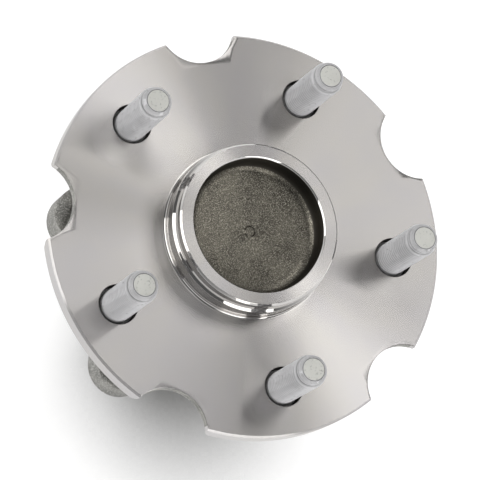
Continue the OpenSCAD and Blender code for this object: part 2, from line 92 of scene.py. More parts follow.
def selectEdges(piece, test):
    # edges of the piece in edit mode, chosen by their place or angle
    bpy.ops.mesh.select_mode(type="EDGE")
    bpy.ops.mesh.select_all(action="DESELECT")
    mesh = bmesh.from_edit_mesh(piece.data)
    mesh.normal_update()
    for edge in mesh.edges:
        edge.select_set(test(edge))
    mesh.select_flush_mode()
    bmesh.update_edit_mesh(piece.data)


def startPoint(name):
    # a plane brought down to one point, from which a line is drawn
    clearSelection()
    bpy.ops.mesh.primitive_plane_add(size=0.01, location=(0, 0, 0))
    piece = bpy.context.object
    piece.name = piece.data.name = name
    bpy.ops.object.mode_set(mode="EDIT")
    bpy.ops.mesh.select_mode(type="VERT")
    bpy.ops.mesh.select_all(action="SELECT")
    bpy.ops.mesh.merge(type="CENTER")
    return piece


def drawLine(points):
    places = [Vector(point) / 1000 for point in points]
    bpy.ops.transform.translate(value=places[0])
    for here, there in zip(places, places[1:]):
        bpy.ops.mesh.extrude_vertices_move(TRANSFORM_OT_translate={"value": there - here})


def softened(corners):
    # (r, z) corners stay sharp and (r, z, radius) corners become arcs, with a loop on each side
    # to hold them, where the straight beside them is long enough for one
    longEnough = 6 * holdGap
    line = []
    for i, corner in enumerate(corners):
        here = Vector(corner[:2])
        if len(corner) == 2:
            line.append(here)
            continue
        radius = corner[2]
        before, after = Vector(corners[i - 1][:2]), Vector(corners[(i + 1) % len(corners)][:2])
        into, out = (here - before).normalized(), (after - here).normalized()
        turn = into.angle_signed(out)
        setBack = radius * math.tan(abs(turn) / 2)
        centre = here - into * setBack + Vector((into.y, -into.x)) * radius * math.copysign(1, turn)
        arm = here - into * setBack - centre
        count = max(2, math.ceil(math.degrees(abs(turn)) / arcStep))
        if (here - before).length > setBack + longEnough:
            line.append(here - into * (setBack + holdGap))
        for k in range(count + 1):
            line.append(centre + Matrix.Rotation(-turn * k / count, 2) @ arm)
        if (after - here).length > setBack + longEnough:
            line.append(here + out * (setBack + holdGap))
    return line


def arcPoints(centre, radius, start, end, count):
    angles = [math.radians(start + (end - start) * k / count) for k in range(count + 1)]
    return [(centre[0] + radius * math.cos(a), centre[1] + radius * math.sin(a)) for a in angles]


def closeUp(piece):
    # joins the seam and the poles, and turns all faces outwards
    inEdit(piece)
    bpy.ops.mesh.select_all(action="SELECT")
    bpy.ops.mesh.remove_doubles(threshold=mergeDistance)
    bpy.ops.mesh.normals_make_consistent(inside=False)
    outOfEdit()


def turned(name, line, steps=turnSteps, closed=False):
    # the line is (r, z), spun round the axis, and a closed line ends where it starts
    piece = startPoint(name)
    line = list(line) + ([line[0]] if closed else [])
    drawLine([(point[0], 0, point[1]) for point in line])
    bpy.ops.mesh.select_all(action="SELECT")
    bpy.ops.mesh.spin(steps=steps, angle=math.tau, center=(0, 0, 0), axis=(0, 0, 1))
    outOfEdit()
    closeUp(piece)
    return piece


def extruded(name, outline, low, high):
    # the outline is (x, y), filled and drawn up from low to high
    piece = startPoint(name)
    drawLine([(point[0], point[1], low) for point in outline])
    bpy.ops.mesh.select_all(action="SELECT")
    bpy.ops.mesh.edge_face_add()
    bpy.ops.mesh.extrude_region_move(TRANSFORM_OT_translate={"value": (0, 0, (high - low) / 1000)})
    outOfEdit()
    closeUp(piece)
    return piece


def placed(piece, move, turn=0):
    # moved first, and then turned round the spin axis
    spin = Matrix.Rotation(math.radians(turn), 4, "Z")
    piece.data.transform(spin @ Matrix.Translation(Vector(move) / 1000))
    return piece


def copyOf(piece, name):
    pick(piece)
    bpy.ops.object.duplicate()
    other = bpy.context.object
    other.name = other.data.name = name
    return other


def combined(piece, other, operation):
    # the other piece is used up
    pick(piece)
    join = piece.modifiers.new("combine", "BOOLEAN")
    join.operation, join.object, join.solver = operation, other, "EXACT"
    bpy.ops.object.modifier_apply(modifier=join.name)
    bpy.data.objects.remove(other)


def cutWith(piece, cutter):
    combined(piece, cutter, "DIFFERENCE")


def bevelled(piece, test, width, rounds):
    inEdit(piece)
    selectEdges(piece, test)
    bpy.ops.mesh.bevel(offset=width / 1000, segments=rounds, affect="EDGES", clamp_overlap=True)
    outOfEdit()


def reshaped(piece, depthAt):
    # depthAt gives how far each point goes in, from its radius, its share of a turn and its height
    mesh = piece.data
    points = np.zeros(len(mesh.vertices) * 3, np.float32)
    mesh.vertices.foreach_get("co", points)
    points = points.reshape(-1, 3)
    radius = np.hypot(points[:, 0], points[:, 1]) * 1000
    turn = np.arctan2(points[:, 1], points[:, 0]) / math.tau
    depth = depthAt(radius, turn, points[:, 2] * 1000)
    onAxis = 1e-9
    points[:, :2] *= ((radius - depth) / np.maximum(radius, onAxis))[:, None]
    mesh.vertices.foreach_set("co", points.ravel())
    mesh.update()


def threadWave(turn, height, pitch, crest, flank):
    # a right-hand thread: 0 on its crests and 1 on its roots; crest and flank are shares of a pitch
    phase = (height / pitch - turn) % 1.0
    return np.clip((0.5 - np.abs(phase - 0.5) - crest) / flank, 0, 1)


def smoothed(piece, angle):
    pick(piece)
    bpy.ops.object.shade_smooth_by_angle(angle=math.radians(angle))


def wear(piece, *materials):
    piece.data.materials.clear()
    for material in materials:
        piece.data.materials.append(material)


def wearWhere(piece, choose):
    # choose gives each face the number of its material, from its centre in millimetres and its normal
    for face in piece.data.polygons:
        face.material_index = choose(face.center * 1000, face.normal)


# Node helpers and the effects that the materials share

def addNode(tree, kind, links=None, **values):
    node = tree.nodes.new(kind)
    for key, value in values.items():
        setattr(node, key, value)
    for socket, source in (links or {}).items():
        if isinstance(source, bpy.types.NodeSocket):
            tree.links.new(source, node.inputs[socket])
        else:
            node.inputs[socket].default_value = source
    return node


def newGroup(name, inputs, outputs):
    group = bpy.data.node_groups.new(name, "ShaderNodeTree")
    for label, value in inputs.items():
        socket = group.interface.new_socket(label, in_out="INPUT", socket_type="NodeSocketFloat")
        socket.default_value = value
    for label in outputs:
        group.interface.new_socket(label, in_out="OUTPUT", socket_type="NodeSocketFloat")
    given = group.nodes.new("NodeGroupInput").outputs
    return group, given, group.nodes.new("NodeGroupOutput").inputs


def mathNode(tree, operation, first, second):
    return addNode(tree, "ShaderNodeMath", {0: first, 1: second}, operation=operation).outputs[0]


def vectorNode(tree, operation, first, second):
    return addNode(tree, "ShaderNodeVectorMath", {0: first, 1: second}, operation=operation).outputs[0]


def scaledBy(tree, vector, amount):
    return addNode(
        tree, "ShaderNodeVectorMath", {0: vector, "Scale": amount}, operation="SCALE").outputs[0]


def mapRange(tree, value, fromLow, fromHigh, toLow=0.0, toHigh=1.0):
    limits = {0: value, 1: fromLow, 2: fromHigh, 3: toLow, 4: toHigh}
    return addNode(tree, "ShaderNodeMapRange", limits).outputs[0]


def noise(tree, vector, scale, detail=2.0, roughness=0.5):
    values = {"Vector": vector, "Scale": scale, "Detail": detail, "Roughness": roughness}
    return addNode(tree, "ShaderNodeTexNoise", values).outputs["Fac"]


def objectPlace(tree):
    return addNode(tree, "ShaderNodeTexCoord").outputs["Object"]


def mixColours(tree, amount, first, second):
    # a Mix node keeps its colours in inputs 6 and 7 and output 2
    node = addNode(tree, "ShaderNodeMix", {0: amount}, data_type="RGBA")
    for socket, colour in ((node.inputs[6], first), (node.inputs[7], second)):
        if isinstance(colour, bpy.types.NodeSocket):
            tree.links.new(colour, socket)
        else:
            socket.default_value = (*colour, 1.0)
    return node.outputs[2]


def makeTurnedRings():
    # grooves of a lathe tool, which change with the radius and the height and not round the axis,
    # and slow patches that also change round it
    group, given, result = newGroup(
        "turnedRings", {"Spacing": 0.0004, "Sectors": 1.0}, ["Height", "Sheen", "Patches"])
    bandScale, patchDrift, patchScale = 0.12, 14.0, 1.6
    split = addNode(group, "ShaderNodeSeparateXYZ", {0: objectPlace(group)}).outputs
    flat = addNode(group, "ShaderNodeCombineXYZ", {0: split[0], 1: split[1]}).outputs[0]
    radius = addNode(group, "ShaderNodeVectorMath", {0: flat}, operation="LENGTH").outputs["Value"]
    away = addNode(group, "ShaderNodeVectorMath", {0: flat}, operation="NORMALIZE").outputs[0]
    ring = addNode(group, "ShaderNodeCombineXYZ", {0: radius, 1: split[2]}).outputs[0]
    fine = scaledBy(group, ring, mathNode(group, "DIVIDE", 1.0, given["Spacing"]))
    grooves = noise(group, fine, 1.0, detail=3.0, roughness=0.65)
    bands = noise(group, fine, bandScale)
    drift = addNode(group, "ShaderNodeCombineXYZ", {2: mathNode(group, "MULTIPLY", radius, patchDrift)})
    around = vectorNode(group, "ADD", scaledBy(group, away, given["Sectors"]), drift.outputs[0])
    patches = noise(group, around, patchScale, detail=3.0, roughness=0.55)
    sheen = mathNode(
        group, "ADD", mathNode(group, "MULTIPLY", grooves, 0.5), mathNode(group, "MULTIPLY", bands, 0.5))
    group.links.new(grooves, result["Height"])
    group.links.new(sheen, result["Sheen"])
    group.links.new(patches, result["Patches"])
    return group


def makeForgedGrain():
    # scale and shot marks of a forging: round pits over slow swells, and bright grains
    group, given, result = newGroup(
        "forgedGrain", {"Grain": 0.0006, "Swell": 0.006}, ["Height", "Grains", "Stains"])
    gritShare, pitShare, swellShare, pitScale = 0.6, 0.4, 0.8, 0.8
    place = objectPlace(group)
    fine = scaledBy(group, place, mathNode(group, "DIVIDE", 1.0, given["Grain"]))
    slow = scaledBy(group, place, mathNode(group, "DIVIDE", 1.0, given["Swell"]))
    grit = noise(group, fine, 1.0, detail=3.0, roughness=0.6)
    cells = addNode(group, "ShaderNodeTexVoronoi", {"Vector": fine, "Scale": pitScale})
    swells = noise(group, slow, 1.0)
    relief = mathNode(
        group, "ADD", mathNode(group, "MULTIPLY", grit, gritShare),
        mathNode(group, "MULTIPLY", cells.outputs["Distance"], pitShare))
    height = mathNode(group, "ADD", relief, mathNode(group, "MULTIPLY", swells, swellShare))
    group.links.new(height, result["Height"])
    group.links.new(mapRange(group, grit, 0.50, 0.66), result["Grains"])
    group.links.new(swells, result["Stains"])
    return group


def makeFineGrain():
    # the even fine grain of plating, moulded plastic or rubber
    group, given, result = newGroup("fineGrain", {"Size": 0.0003}, ["Height", "Specks", "Clouds"])
    cloudScale = 0.06
    fine = scaledBy(group, objectPlace(group), mathNode(group, "DIVIDE", 1.0, given["Size"]))
    grain = noise(group, fine, 1.0, roughness=0.6)
    group.links.new(grain, result["Height"])
    group.links.new(mapRange(group, grain, 0.60, 0.74), result["Specks"])
    group.links.new(noise(group, fine, cloudScale, detail=3.0), result["Clouds"])
    return group


turnedRings, forgedGrain, fineGrain = makeTurnedRings(), makeForgedGrain(), makeFineGrain()


# Materials

def newMaterial(name, **constants):
    material = bpy.data.materials.new(name)
    material.use_nodes = True
    shader = material.node_tree.nodes["Principled BSDF"]
    for socket, value in constants.items():
        shader.inputs[socket.replace("_", " ")].default_value = value
    return material, material.node_tree, shader


def effect(tree, group, **values):
    node = addNode(tree, "ShaderNodeGroup", node_tree=group)
    for socket, value in values.items():
        node.inputs[socket].default_value = value
    return node.outputs


def dress(tree, shader, colour, roughness, height, depth):
    # the three inputs that every material here changes over its surface
    tree.links.new(colour, shader.inputs["Base Color"])
    tree.links.new(roughness, shader.inputs["Roughness"])
    bump = addNode(tree, "ShaderNodeBump", {"Height": height, "Distance": depth, "Strength": 1.0})
    tree.links.new(bump.outputs["Normal"], shader.inputs["Normal"])


def turnedSteel(name, look):
    # the quarter turn sets the highlight's long side across the grooves
    material, tree, shader = newMaterial(
        name, Metallic=1.0, Anisotropic=look["anisotropy"], Anisotropic_Rotation=0.25)
    rings = effect(tree, turnedRings, Spacing=look["spacing"], Sectors=look["sectors"])
    plain = mixColours(tree, mapRange(tree, rings["Patches"], 0.36, 0.64), look["cool"], look["warm"])
    gleam = mapRange(tree, rings["Sheen"], 0.35, 0.65, 0.0, look["contrast"])
    colour = mixColours(tree, gleam, plain, look["bright"])
    roughness = mapRange(tree, rings["Sheen"], 0.3, 0.7, look["smooth"], look["rough"])
    dress(tree, shader, colour, roughness, rings["Height"], look["depth"])
    tangent = addNode(tree, "ShaderNodeTangent", direction_type="RADIAL", axis="Z")
    tree.links.new(tangent.outputs[0], shader.inputs["Tangent"])
    return material


def forgedSteel(name, look):
    material, tree, shader = newMaterial(name, Metallic=look["metal"])
    grain = effect(tree, forgedGrain, Grain=look["grain"], Swell=look["swell"])
    scale = mixColours(tree, mapRange(tree, grain["Stains"], 0.35, 0.65), look["dark"], look["light"])
    colour = mixColours(tree, grain["Grains"], scale, look["glint"])
    roughness = mapRange(tree, grain["Grains"], 0.0, 1.0, look["rough"], look["smooth"])
    dress(tree, shader, colour, roughness, grain["Height"], look["depth"])
    return material


def grainedMaterial(name, look):
    material, tree, shader = newMaterial(name, Metallic=look["metal"])
    grain = effect(tree, fineGrain, Size=look["size"])
    cloudsAndRootShade = mixColours(tree, mapRange(tree, grain["Clouds"], 0.35, 0.65), look["dark"], look["light"])
    if "root" in look:
        # painted shade: where the surface is hollow, in the thread roots, the colour goes towards the
        # root colour, and the crests keep the plain colour
        crest = addNode(tree, "ShaderNodeNewGeometry").outputs["Pointiness"]
        cloudsAndRootShade = mixColours(tree, mapRange(tree, crest, 0.44, 0.53), look["root"], cloudsAndRootShade)
    colour = mixColours(tree, grain["Specks"], cloudsAndRootShade, look["speck"])
    roughness = mapRange(tree, grain["Clouds"], 0.3, 0.7, look["smooth"], look["rough"])
    dress(tree, shader, colour, roughness, grain["Height"], look["depth"])
    return material


turnedFace = turnedSteel("turnedFace", {
    "cool": (0.545, 0.532, 0.536), "warm": (0.575, 0.558, 0.540), "bright": (0.62, 0.60, 0.57),
    "contrast": 0.06, "smooth": 0.245, "rough": 0.26, "anisotropy": 1.0,
    "spacing": 0.0020, "sectors": 1.3, "depth": 0.0000003,
})
polishedPilot = turnedSteel("polishedPilot", {
    "cool": (0.58, 0.575, 0.57), "warm": (0.62, 0.605, 0.585), "bright": (0.68, 0.66, 0.645),
    "contrast": 0.5, "smooth": 0.035, "rough": 0.06, "anisotropy": 0.3,
    "spacing": 0.0008, "sectors": 1.0, "depth": 0.0000003,
})
# painted shade: a near-black turned steel that stands in for the shade and dark reflections on the
# recess wall and in the stud holes
paintedShadeSteel = turnedSteel("paintedShadeSteel", {
    "cool": (0.055, 0.052, 0.047), "warm": (0.075, 0.070, 0.060), "bright": (0.12, 0.11, 0.09),
    "contrast": 0.5, "smooth": 0.38, "rough": 0.5, "anisotropy": 0.3,
    "spacing": 0.0006, "sectors": 1.0, "depth": 0.000002,
})
groundSteel = turnedSteel("groundSteel", {
    "cool": (0.56, 0.555, 0.55), "warm": (0.60, 0.59, 0.575), "bright": (0.66, 0.645, 0.63),
    "contrast": 0.4, "smooth": 0.12, "rough": 0.2, "anisotropy": 0.5,
    "spacing": 0.0003, "sectors": 1.0, "depth": 0.0000005,
})
recessScale = forgedSteel("recessScale", {
    "dark": (0.060, 0.056, 0.047), "light": (0.120, 0.112, 0.092), "glint": (0.44, 0.415, 0.35),
    "metal": 0.90, "grain": 0.00033, "swell": 0.006, "smooth": 0.30, "rough": 0.38, "depth": 0.00005,
})
forgedSkin = forgedSteel("forgedSkin", {
    "dark": (0.17, 0.17, 0.16), "light": (0.31, 0.305, 0.285), "glint": (0.54, 0.53, 0.50),
    "metal": 0.8, "grain": 0.00055, "swell": 0.007, "smooth": 0.34, "rough": 0.52, "depth": 0.00012,
})
studZinc = grainedMaterial("studZinc", {
    "dark": (0.72, 0.72, 0.74), "light": (0.84, 0.84, 0.86), "speck": (0.36, 0.36, 0.36),
    # root is the colour of the painted shade in the thread roots
    "root": (0.06, 0.06, 0.06), "metal": 0.25, "size": 0.00065, "smooth": 0.46, "rough": 0.58,
    "depth": 0.00004,
})
studEnd = grainedMaterial("studEnd", {
    "dark": (0.60, 0.605, 0.575), "light": (0.69, 0.695, 0.66), "speck": (0.36, 0.37, 0.35),
    "metal": 0.25, "size": 0.0008, "smooth": 0.4, "rough": 0.5, "depth": 0.00008,
})
nutPhosphate = grainedMaterial("nutPhosphate", {
    "dark": (0.07, 0.07, 0.07), "light": (0.12, 0.12, 0.115), "speck": (0.25, 0.25, 0.24),
    "metal": 0.6, "size": 0.0003, "smooth": 0.4, "rough": 0.6, "depth": 0.00001,
})
caseSteel = grainedMaterial("caseSteel", {
    "dark": (0.42, 0.42, 0.42), "light": (0.52, 0.52, 0.51), "speck": (0.34, 0.34, 0.33),
    "metal": 1.0, "size": 0.0005, "smooth": 0.25, "rough": 0.38, "depth": 0.000004,
})
capSteel = grainedMaterial("capSteel", {
    "dark": (0.50, 0.50, 0.48), "light": (0.60, 0.59, 0.55), "speck": (0.45, 0.44, 0.40),
    "metal": 1.0, "size": 0.0006, "smooth": 0.28, "rough": 0.4, "depth": 0.000005,
})
ballSteel = grainedMaterial("ballSteel", {
    "dark": (0.66, 0.66, 0.67), "light": (0.70, 0.70, 0.70), "speck": (0.62, 0.62, 0.62),
    "metal": 1.0, "size": 0.0004, "smooth": 0.05, "rough": 0.08, "depth": 0.0000002,
})
cagePolyamide = grainedMaterial("cagePolyamide", {
    "dark": (0.30, 0.22, 0.12), "light": (0.37, 0.28, 0.16), "speck": (0.22, 0.16, 0.09),
    "metal": 0.0, "size": 0.0004, "smooth": 0.4, "rough": 0.55, "depth": 0.000008,
})
sealRubber = grainedMaterial("sealRubber", {
    "dark": (0.018, 0.018, 0.019), "light": (0.030, 0.030, 0.031), "speck": (0.045, 0.045, 0.045),
    "metal": 0.0, "size": 0.0003, "smooth": 0.5, "rough": 0.68, "depth": 0.00001,
})
encoderFerrite = grainedMaterial("encoderFerrite", {
    "dark": (0.040, 0.040, 0.043), "light": (0.055, 0.055, 0.058), "speck": (0.08, 0.08, 0.08),
    "metal": 0.0, "size": 0.0003, "smooth": 0.4, "rough": 0.5, "depth": 0.000006,
})
sensorPlastic = grainedMaterial("sensorPlastic", {
    "dark": (0.022, 0.023, 0.025), "light": (0.034, 0.035, 0.037), "speck": (0.05, 0.05, 0.052),
    "metal": 0.0, "size": 0.00035, "smooth": 0.38, "rough": 0.5, "depth": 0.000012,
})
chipResin = grainedMaterial("chipResin", {
    "dark": (0.010, 0.045, 0.03), "light": (0.014, 0.06, 0.04), "speck": (0.03, 0.08, 0.06),
    "metal": 0.0, "size": 0.0003, "smooth": 0.3, "rough": 0.4, "depth": 0.000003,
})
terminalBrass = grainedMaterial("terminalBrass", {
    "dark": (0.62, 0.47, 0.20), "light": (0.72, 0.56, 0.26), "speck": (0.5, 0.38, 0.17),
    "metal": 1.0, "size": 0.0003, "smooth": 0.22, "rough": 0.34, "depth": 0.000002,
})
print("materials done")


# Wheel hub: flange, pilots, seal land, race and spindle in one forging

hubShape = {
    # the rim is a thinner band, as wide as its scallops are deep
    "flangeRadius": 75.0, "rimBack": -7.6, "rimChamfer": 1.5, "rimFillet": 2.0, "faceChamfer": 0.8,
    "webBack": -8.4, "webFillet": 1.5, "webSlope": 5.04,
    "discBack": -12.0, "discRadius": 46.0, "discRound": 0.8,
    # loops across the flat face, so that its facets stay near square
    "faceLoops": (70.0, 64.0, 57.0, 50.0, 44.0, 38.5, 34.0),
    "brakePilotRadius": 31.0, "brakePilotTop": 7.3, "pilotFillet": 1.2, "pilotStep": 0.7,
    "wheelPilotRadius": 30.0, "pilotTop": 13.3, "pilotRound": 0.12,
    "recessRadius": 24.7, "recessFillet": 4.5, "recessChamfer": 0.5, "recessRound": 0.1,
    # the recess floor is flat in the middle, and rises towards the wall
    "recessFloor": 2.5, "bowlFlat": 5.0, "bowlRadius": 19.8, "bowlRise": 1.3, "bowlLoops": 11,
    "markRadius": 2.2, "markRise": 0.5, "markSlope": 0.6, "markDimple": 0.4, "dimpleDepth": 0.1,
    "landRadius": 31.0, "landEnd": -20.5, "landChamfer": 0.6, "landFillet": 1.4,
    "shoulderRadius": 26.7, "lipRadius": 23.25, "rowHeight": -29.5, "raceEnd": -40.5,
    "spindleRadius": 16.0, "threadRadius": 12.0, "nutSeat": -64.0, "seatFillet": 0.4,
    "spindleEnd": -74.5, "spindleChamfer": 1.0, "edgeRound": 0.3, "fineRound": 0.2,
    # the slot that the lock nut's collar is staked into
    "slotRadius": 11.2, "slotRise": 4.0, "slotSize": (4.4, 4.0, 10.5), "slotRound": 0.4,
}
bossShape = {
    "radius": 13.5, "back": -12.4, "round": 0.6, "draft": 0.6, "fillet": 2.2,
    # the foot of the fillet is below the web, and rises into the flange
    "footDrop": 0.2, "footWidth": 4.0, "footTop": -6.4, "inside": -4.0,
    "holeRadius": 7.15, "holeLead": 0.4, "holeFlare": 1.0,
    # the broken edge of the hole, as steps out and up from its wall at the wheel face
    "holeEdge": ((0, -0.45), (0.1, -0.15), (0.7, 0.5)),
}
scallopShape = {
    "radius": 15.0, "depth": 9.9, "wall": 3.3, "flare": 35.0, "flareDepth": 10.5, "flareRound": 2.0,
    # the broken edge at the wheel face, as steps out and up from the wall
    "edge": ((0, -0.4), (0.12, -0.12), (0.56, 0.1)), "steps": 180,
}


def bowlHeight(shape, radius):
    s = shape
    share = (radius - s["bowlFlat"]) / (s["bowlRadius"] - s["bowlFlat"])
    return s["recessFloor"] + s["bowlRise"] * share ** 2


def hubProfile(shape):
    # from the spindle's end, round the outside and over the face, to the middle of the recess
    s = shape
    land, edge, fine = s["landRadius"], s["edgeRound"], s["fineRound"]
    spindle = [
        (0, s["spindleEnd"]),
        (s["threadRadius"] - s["spindleChamfer"], s["spindleEnd"], fine),
        (s["threadRadius"], s["spindleEnd"] + s["spindleChamfer"], fine),
        (s["threadRadius"], s["nutSeat"]),
        (s["spindleRadius"], s["nutSeat"], s["seatFillet"]),
        (s["spindleRadius"], s["raceEnd"]),
        (s["lipRadius"], s["raceEnd"], edge),
    ]
    groove = (pitchRadius + grooveOut, s["rowHeight"] - grooveAlong)
    race = arcPoints(groove, grooveRadius, 180 + lipAngle, 180 - shoulderAngle, grooveSteps)
    flangeBack = [
        (s["shoulderRadius"], s["landEnd"]),
        (land - s["landChamfer"], s["landEnd"], edge),
        (land, s["landEnd"] + s["landChamfer"], edge),
        (land, s["discBack"], s["landFillet"]),
        (s["discRadius"], s["discBack"], s["discRound"]),
        (s["discRadius"] + s["webSlope"], s["webBack"], s["webFillet"]),
        (s["flangeRadius"] - scallopShape["depth"], s["rimBack"], s["rimFillet"]),
        (s["flangeRadius"] - s["rimChamfer"], s["rimBack"], edge),
        (s["flangeRadius"], s["rimBack"] + s["rimChamfer"], edge),
        (s["flangeRadius"], -s["faceChamfer"], edge),
        (s["flangeRadius"] - s["faceChamfer"], 0, fine),
    ]
    face = [(radius, 0) for radius in s["faceLoops"]]
    pilots = [
        (s["brakePilotRadius"], 0, s["pilotFillet"]),
        (s["brakePilotRadius"], s["brakePilotTop"], s["pilotRound"]),
        (s["wheelPilotRadius"], s["brakePilotTop"] + s["pilotStep"], s["pilotRound"]),
        (s["wheelPilotRadius"], s["pilotTop"] - s["pilotStep"], s["pilotRound"]),
        (s["wheelPilotRadius"] - s["pilotStep"], s["pilotTop"], s["pilotRound"]),
    ]
    recess = [
        (s["recessRadius"] + s["recessChamfer"], s["pilotTop"], s["recessRound"]),
        (s["recessRadius"], s["pilotTop"] - s["recessChamfer"], s["recessRound"]),
        (s["recessRadius"], bowlHeight(s, s["recessRadius"]), s["recessFillet"]),
    ]
    bowl = [(radius, bowlHeight(s, radius))
            for radius in np.linspace(s["bowlRadius"], s["bowlFlat"], s["bowlLoops"])]
    markTop = s["recessFloor"] + s["markRise"]
    mark = [(s["markRadius"], s["recessFloor"]), (s["markRadius"] - s["markSlope"], markTop),
            (s["markDimple"], markTop), (0, markTop - s["dimpleDepth"])]
    return softened(spindle + race + flangeBack + face + pilots + recess + bowl + mark)


def makeBoss(shape, webBack):
    s = shape
    foot = s["radius"] + s["footWidth"]
    return turned("boss", softened([
        (0, s["back"]), (s["radius"], s["back"], s["round"]),
        (s["radius"] + s["draft"], webBack - s["footDrop"], s["fillet"]),
        (foot, s["footTop"]), (foot, s["inside"]), (0, s["inside"]),
    ]), steps=studSteps)


def makeStudHole(shape):
    s = shape
    edge = [(s["holeRadius"] + out, up) for out, up in s["holeEdge"]]
    return turned("hole", [
        (0, s["back"] - overreach), (s["holeRadius"] + s["holeFlare"], s["back"] - overreach),
        (s["holeRadius"], s["back"] + s["holeLead"]), *edge, (0, edge[-1][1]),
    ], steps=studSteps)


def makeScallop(shape):
    # straight through the rim's front wall, and flared behind it
    s = shape
    low = -s["wall"] - s["flareDepth"]
    wide = s["radius"] + s["flareDepth"] * math.tan(math.radians(s["flare"]))
    edge = [(s["radius"] + out, up) for out, up in s["edge"]]
    return turned("scallop", softened([
        (0, low), (wide, low), (s["radius"], -s["wall"], s["flareRound"]),
        *edge, (edge[-1][0], overreach), (0, overreach),
    ]), steps=s["steps"])


def makeStakeSlot(shape):
    s = shape
    clearSelection()
    place = (s["slotRadius"], 0, s["spindleEnd"] + s["slotRise"])
    bpy.ops.mesh.primitive_cube_add(size=1, location=metres(place))
    slot = bpy.context.object
    slot.scale = metres(s["slotSize"])
    bpy.ops.object.transform_apply(location=True, rotation=True, scale=True)
    bevelled(slot, lambda edge: True, s["slotRound"], rounds=2)
    return slot


# where one finish of the hub ends and the next begins
hubLimits = {
    "slack": 0.05,          # the centre of a face on a plane lies within this of the plane
    "recessTop": 0.4,       # below the pilots' top
    "wallRise": 0.6,        # a wall's normal rises less than this
    "pilotFoot": 0.6,       # out from the brake pilot
    # in from the rim, up from its back, and the square of how far a normal leans outwards
    "rimWidth": 1.6, "rimLow": 0.02, "rimOut": 0.3,
    "landWidth": 0.2,       # out from the seal land
    # down from the wheel face, and how far the normal of a broken edge rises
    "edgeDepth": 0.3, "edgeRise": 0.4,
    "holeWidth": 0.3,       # out from the wall of a stud hole
}


def studDistance(place):
    # from a place on the hub to the axis of the nearest stud
    angle = math.degrees(math.atan2(place.y, place.x)) - firstStud
    nearest = math.radians(firstStud + studStep * round(angle / studStep))
    return math.hypot(
        place.x - studCircle * math.cos(nearest), place.y - studCircle * math.sin(nearest))


def wearHub(hub, shape, limits):
    s = shape
    wear(hub, turnedFace, polishedPilot, paintedShadeSteel, recessScale, forgedSkin, groundSteel)
    face, pilot, bore, scale, forged, ground = range(6)
    slack = limits["slack"]
    holeReach = bossShape["holeRadius"] + limits["holeWidth"]

    def aboveFace(r, z, normal):
        if r < s["wheelPilotRadius"] - s["pilotStep"] and z < s["pilotTop"] - limits["recessTop"]:
            # painted shade: the recess wall gets the near-black steel
            return bore if abs(normal.z) < limits["wallRise"] and r > s["bowlRadius"] else scale
        return face if z > s["pilotTop"] - slack else pilot

    def belowFace(r, z, normal, place):
        outwards = normal.x ** 2 + normal.y ** 2 > limits["rimOut"]
        if r > s["flangeRadius"] - limits["rimWidth"]:
            return face if outwards and z > s["rimBack"] + limits["rimLow"] else forged
        if r < s["landRadius"] + limits["landWidth"]:
            return ground
        if z > -limits["edgeDepth"] and normal.z > limits["edgeRise"]:
            return face
        # painted shade: a band round each stud hole gets the near-black steel
        return bore if studDistance(place) < holeReach else forged

    def finish(place, normal):
        r, z = math.hypot(place.x, place.y), place.z
        if z > slack:
            return aboveFace(r, z, normal)
        if z > -slack:
            return pilot if r < s["brakePilotRadius"] + limits["pilotFoot"] else face
        return belowFace(r, z, normal, place)

    wearWhere(hub, finish)


def makeHub(shape):
    s = shape
    hub = turned("hubForging", hubProfile(s))
    boss, hole = makeBoss(bossShape, s["webBack"]), makeStudHole(bossShape)
    scallop = makeScallop(scallopShape)
    scallopCentre = s["flangeRadius"] - scallopShape["depth"] + scallopShape["radius"]
    studAngles = [firstStud + studStep * i for i in range(studCount)]
    for angle in studAngles:
        combined(hub, placed(copyOf(boss, "bossCopy"), (studCircle, 0, 0), angle), "UNION")
    for angle in studAngles:
        between = angle + studStep / 2
        cutWith(hub, placed(copyOf(scallop, "scallopCopy"), (scallopCentre, 0, 0), between))
        cutWith(hub, placed(copyOf(hole, "holeCopy"), (studCircle, 0, 0), angle))
    for tool in (boss, hole, scallop):
        bpy.data.objects.remove(tool)
    cutWith(hub, makeStakeSlot(s))
    closeUp(hub)
    smoothed(hub, angle=30)
    wearHub(hub, s, hubLimits)
    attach(hub, "hub")
    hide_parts("wheel_hub")
    return hub


hubForging = makeHub(hubShape)
print("hub done:", len(hubForging.data.polygons), "faces")


# Wheel studs

studShape = {
    "headBack": -16.9, "headTop": -12.4, "headRadius": 9.75, "headSlope": 2.2, "headRise": 1.2,
    "headRounds": (1.0, 0.8, 0.4),    # from the back to the top
    "knurlRadius": 7.15, "knurlTop": -4.4, "knurlTaper": 0.6, "knurlDepth": 0.18, "knurls": 36,
    "knurlLoops": (2, 4, 6),          # above the head
    "threadRadius": 6.0, "threadDepth": 0.8, "threadPitch": 1.5, "threadLow": -3.2, "threadHigh": 25.6,
    "threadRows": 12,                 # rows of points along one turn
    "threadCrest": 0.07, "threadFlank": 0.32, "fadeLow": 1.2, "fadeHigh": 0.5,
    "threadEnd": 0.1, "leadRadius": 5.3, "leadDepth": 0.4, "leadLow": 0.7, "leadFoot": (0.12, 0.15),
    "leadStep": 0.1, "leadRows": 20, "leadHigh": 1.0, "leadRound": 0.2,
    # the flat of the tip has a lip and a groove round it
    "tip": 29.3, "tipRadius": 4.3, "tipEdge": 0.95, "tipGroove": 0.4,
    "lipOut": 0.12, "lipLow": 0.28, "lipHigh": 0.05, "lipRound": 0.1,
}


